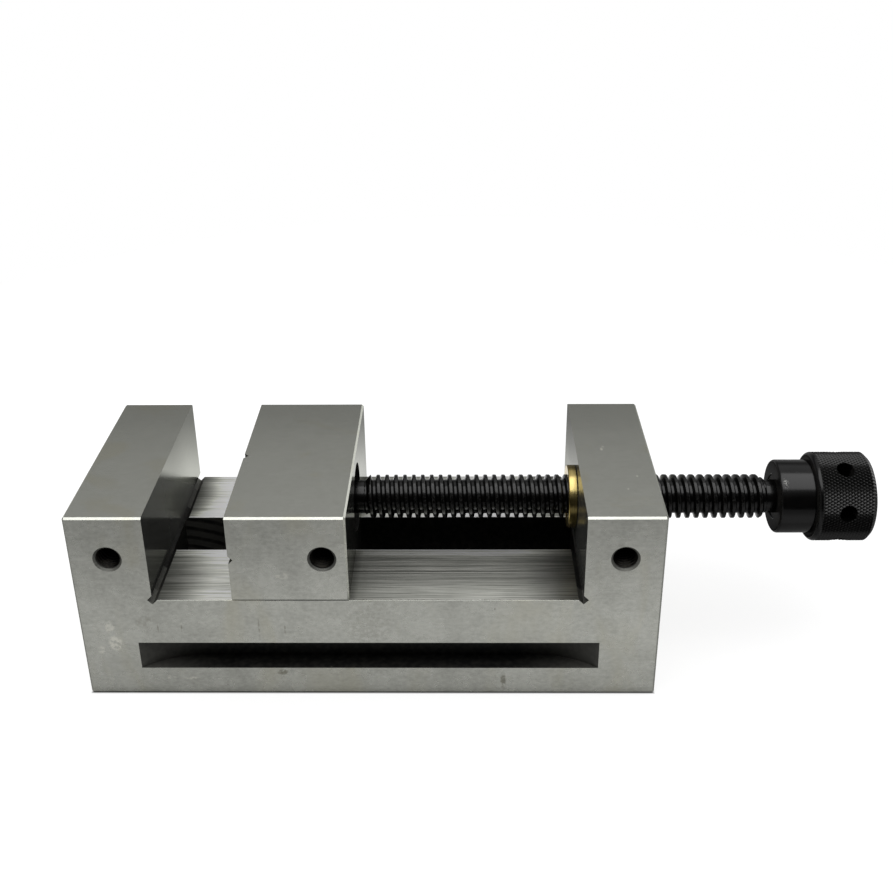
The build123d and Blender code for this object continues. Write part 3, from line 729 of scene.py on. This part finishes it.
for vertex in screw.verts:
    bevelled = neck_radius + max(0.0, min(vertex.co.x - thread_start, thread_end - vertex.co.x))
    if radius_of(vertex) > bevelled:
        set_radius(vertex, bevelled)


def cut_end(piece, x, direction):
    """Cuts the piece off at x and gives the edges of the cut."""
    cut = bmesh.ops.bisect_plane(
        piece, geom=piece.verts[:] + piece.edges[:] + piece.faces[:], dist=1e-7,
        plane_co=(x, 0.0, axis_height), plane_no=(direction, 0.0, 0.0), clear_outer=True)
    rim = [v for v in cut["geom_cut"] if isinstance(v, bmesh.types.BMVert)]
    for vertex in rim:
        vertex.co.x = x
        set_radius(vertex, neck_radius)
    bmesh.ops.remove_doubles(piece, verts=rim, dist=0.0003)
    return [e for e in piece.edges if all(abs(v.co.x - x) < 1e-7 for v in e.verts) and e.is_boundary]


def carry_rim(piece, rim, x, radius):
    """Draws a round rim on to another place along the screw, at another radius."""
    drawn = bmesh.ops.extrude_edge_only(piece, edges=rim)["geom"]
    for vertex in (v for v in drawn if isinstance(v, bmesh.types.BMVert)):
        set_radius(vertex, radius)
        vertex.co.x = x
    return [e for e in drawn if isinstance(e, bmesh.types.BMEdge)]


nose_rim = cut_end(screw, thread_start, -1.0)
for x, radius in (
    (thread_start - rim_step, neck_radius),
    (nose_end + nose_bevel, neck_radius),
    (nose_end, neck_radius - nose_bevel),
    (nose_end, button_bore),
    (button_end, button_bore),
):
    nose_rim = carry_rim(screw, nose_rim, x, radius)
bmesh.ops.edgeloop_fill(screw, edges=nose_rim)
shank_rim = cut_end(screw, thread_end, 1.0)
for x, radius in (
    (thread_end + rim_step, neck_radius),
    (screw_end - end_bevel, neck_radius),
    (screw_end, neck_radius - end_bevel),
    (screw_end, centre_hole_mouth),
    (screw_end - centre_hole_depth, centre_hole_floor),
):
    shank_rim = carry_rim(screw, shank_rim, x, radius)
bmesh.ops.edgeloop_fill(screw, edges=shank_rim)
lead_screw = finish_piece("black_lead_screw", screw, screw_black, "spindle", ["lead_screw"])


def cut_away(piece, cutter):
    """Cuts the cutter's mesh out of a piece, and keeps only the result."""
    cutter_data = bpy.data.meshes.new("cutter")
    bmesh.ops.recalc_face_normals(cutter, faces=cutter.faces)
    cutter.to_mesh(cutter_data)
    cutter.free()
    tool = bpy.data.objects.new("cutter", cutter_data)
    scene.collection.objects.link(tool)
    modifier = piece.modifiers.new("cut", "BOOLEAN")
    modifier.object = tool
    modifier.operation = "DIFFERENCE"
    modifier.solver = "EXACT"
    bpy.context.view_layer.update()
    evaluated = piece.evaluated_get(bpy.context.evaluated_depsgraph_get())
    result = bpy.data.meshes.new_from_object(evaluated)
    piece.modifiers.clear()
    piece.data = result
    bpy.data.objects.remove(tool)


pin_place = nose_end + 6.0 * millimetre
pin_radius = 2.02 * millimetre
pin_hole_floor = 3.0 * millimetre
pin_hole_length = 10.0 * millimetre
pin_hole = bmesh.new()
bmesh.ops.create_cone(
    pin_hole, cap_ends=True, segments=32, radius1=pin_radius, radius2=pin_radius, depth=pin_hole_length,
    matrix=Matrix.Translation((pin_place, 0.0, axis_height + pin_hole_floor + pin_hole_length / 2.0)))
cut_away(lead_screw, pin_hole)


# Knob: turned steel, a smooth collar and a head with a fine diamond knurl, drilled for a tommy
# bar and held on the shank by two grub screws. Blacked; the points of the knurl are rubbed.
knob_left = 129.9 * millimetre
head_left = 145.0 * millimetre
knob_right = 170.5 * millimetre
collar_radius = 16.25 * millimetre
head_radius = 19.75 * millimetre
shank_bore = 7.42 * millimetre
thread_recess = 9.85 * millimetre
recess_depth = 0.5 * millimetre
shoulder = 2.3 * millimetre
head_bevel = 1.8 * millimetre
knurl_depth = 0.5 * millimetre
knurl_steps = 164
knurl_rows = 17
knurl_left = head_left + shoulder
row_length = (knob_right - head_bevel - knurl_left) / knurl_rows


def knob_rub(x, y, z, radius, specks):
    on_points = radius.eased(head_radius - 0.00030, head_radius - 0.00002) * (x > knurl_left - 0.0003)
    from_nick = ((x - 0.1322) * (x - 0.1322) + (y + 0.0102) * (y + 0.0102) * 0.4).root()
    nicks = from_nick.eased(0.0006, 0.0016, 1.0, 0.0) * (z > axis_height) * (specks > 0.56)
    nicks = nicks * near(radius, collar_radius, 0.0002)
    return (on_points * specks.eased(0.30, 0.65) * 0.16).most(nicks * 0.55)


# The knob's left faces are painted dark as shade.
knob_black = blacked_steel("blacked_knob_steel", knob_rub, dark=0.0018, rough=0.18, left_faces_painted_shade=0.92)

# The outline's corners: place, radius, size of the bevel and its segments.
knob = bmesh.new()
outline = (
    (knob_left, thread_recess, 0.0003, 1),
    (knob_left, collar_radius, 0.0014, 5),
    (head_left, collar_radius, 0.0, 0),
    (head_left, head_radius - 0.0001, shoulder, 8),
    (knurl_left + row_length, head_radius, 0.0, 0),
    (knob_right, head_radius, head_bevel, 1),
    (knob_right, shank_bore, 0.0005, 1),
    (knob_left + recess_depth, shank_bore, 0.0, 0),
    (knob_left + recess_depth, thread_recess, 0.0, 0),
)
corners = [knob.verts.new((x, 0.0, axis_height + radius)) for x, radius, _, _ in outline]
for index, corner in enumerate(corners):
    knob.edges.new((corners[index - 1], corner))
for corner, (_, _, size, segments) in zip(corners, outline):
    if segments:
        bmesh.ops.bevel(knob, geom=[corner], offset=size, affect="VERTICES", segments=segments,
                        profile=0.5, material=-1)
rim_level = axis_height + head_radius - 1e-6
knurled_edge = [e for e in knob.edges if all(v.co.z > rim_level for v in e.verts)]
bmesh.ops.subdivide_edges(knob, edges=knurled_edge, cuts=knurl_rows - 2)
bmesh.ops.spin(knob, geom=knob.verts[:] + knob.edges[:], cent=(0.0, 0.0, axis_height),
               axis=(1.0, 0.0, 0.0), angle=math.tau, steps=knurl_steps, use_merge=True)
bmesh.ops.remove_doubles(knob, verts=knob.verts, dist=1e-6)

# Every second crossing of rows and steps is pressed in, which leaves the points between.
points, grooves = [], set()
for vertex in knob.verts:
    if radius_of(vertex) > head_radius - 0.000101 and vertex.co.x > knurl_left - 1e-6:
        row = round((vertex.co.x - knurl_left) / row_length)
        step = round(math.atan2(vertex.co.y, vertex.co.z - axis_height) / math.tau * knurl_steps)
        if (row + step) % 2:
            grooves.add(vertex)
        else:
            points.append(vertex)
for vertex in grooves:
    set_radius(vertex, radius_of(vertex) - knurl_depth)
knurled = dict.fromkeys(f for v in points for f in v.link_faces if sum(w in grooves for w in f.verts) == 2)
bmesh.ops.triangulate(knob, faces=list(knurled), quad_method="SHORT_EDGE", ngon_method="BEAUTY")
inner_points = [v for v in points if knurl_left + 1e-5 < v.co.x < knob_right - head_bevel - 1e-5]
bmesh.ops.bevel(knob, geom=inner_points, offset=0.13 * millimetre, affect="VERTICES", segments=1,
                profile=0.5, material=-1)
diamond_knob = finish_piece("knurled_knob", knob, knob_black, "spindle", ["knob"],
                            sharp_angle=28.0)


def radial_hole(mesh, x, angle, outline, steps):
    """Adds a cutter that points at the screw's axis: outline gives (distance from the axis, radius)."""
    outward = Vector((0.0, -math.cos(math.radians(angle)), math.sin(math.radians(angle))))
    turned = outward.to_track_quat("Z", "Y").to_matrix().to_4x4()
    turned.translation = (x, 0.0, axis_height)
    line = [mesh.verts.new((radius, 0.0, distance)) for distance, radius in outline]
    edges = [mesh.edges.new(pair) for pair in zip(line, line[1:])]
    bmesh.ops.spin(mesh, geom=line + edges, cent=(0.0, 0.0, 0.0), axis=(0.0, 0.0, 1.0),
                   angle=math.tau, steps=steps, use_merge=True)
    fresh = [v for v in mesh.verts if not v.tag]
    bmesh.ops.transform(mesh, matrix=turned, verts=fresh)
    for vertex in fresh:
        vertex.tag = True


tommy_place = 158.1 * millimetre
tommy_outline = ((0.00925, 0.0), (0.00925, 0.00375), (0.0193, 0.00375), (0.0212, 0.00565), (0.0212, 0.0))
grub_place = 137.9 * millimetre
grub_outline = ((0.0066, 0.0), (0.0066, 0.00302), (0.018, 0.00302), (0.018, 0.0))
holes = bmesh.new()
for index in range(6):
    radial_hole(holes, tommy_place, 8.0 + 60.0 * index, tommy_outline, 40)
for angle in (128.0, 218.0):
    radial_hole(holes, grub_place, angle, grub_outline, 32)
bmesh.ops.remove_doubles(holes, verts=holes.verts, dist=1e-7)
cut_away(diamond_knob, holes)
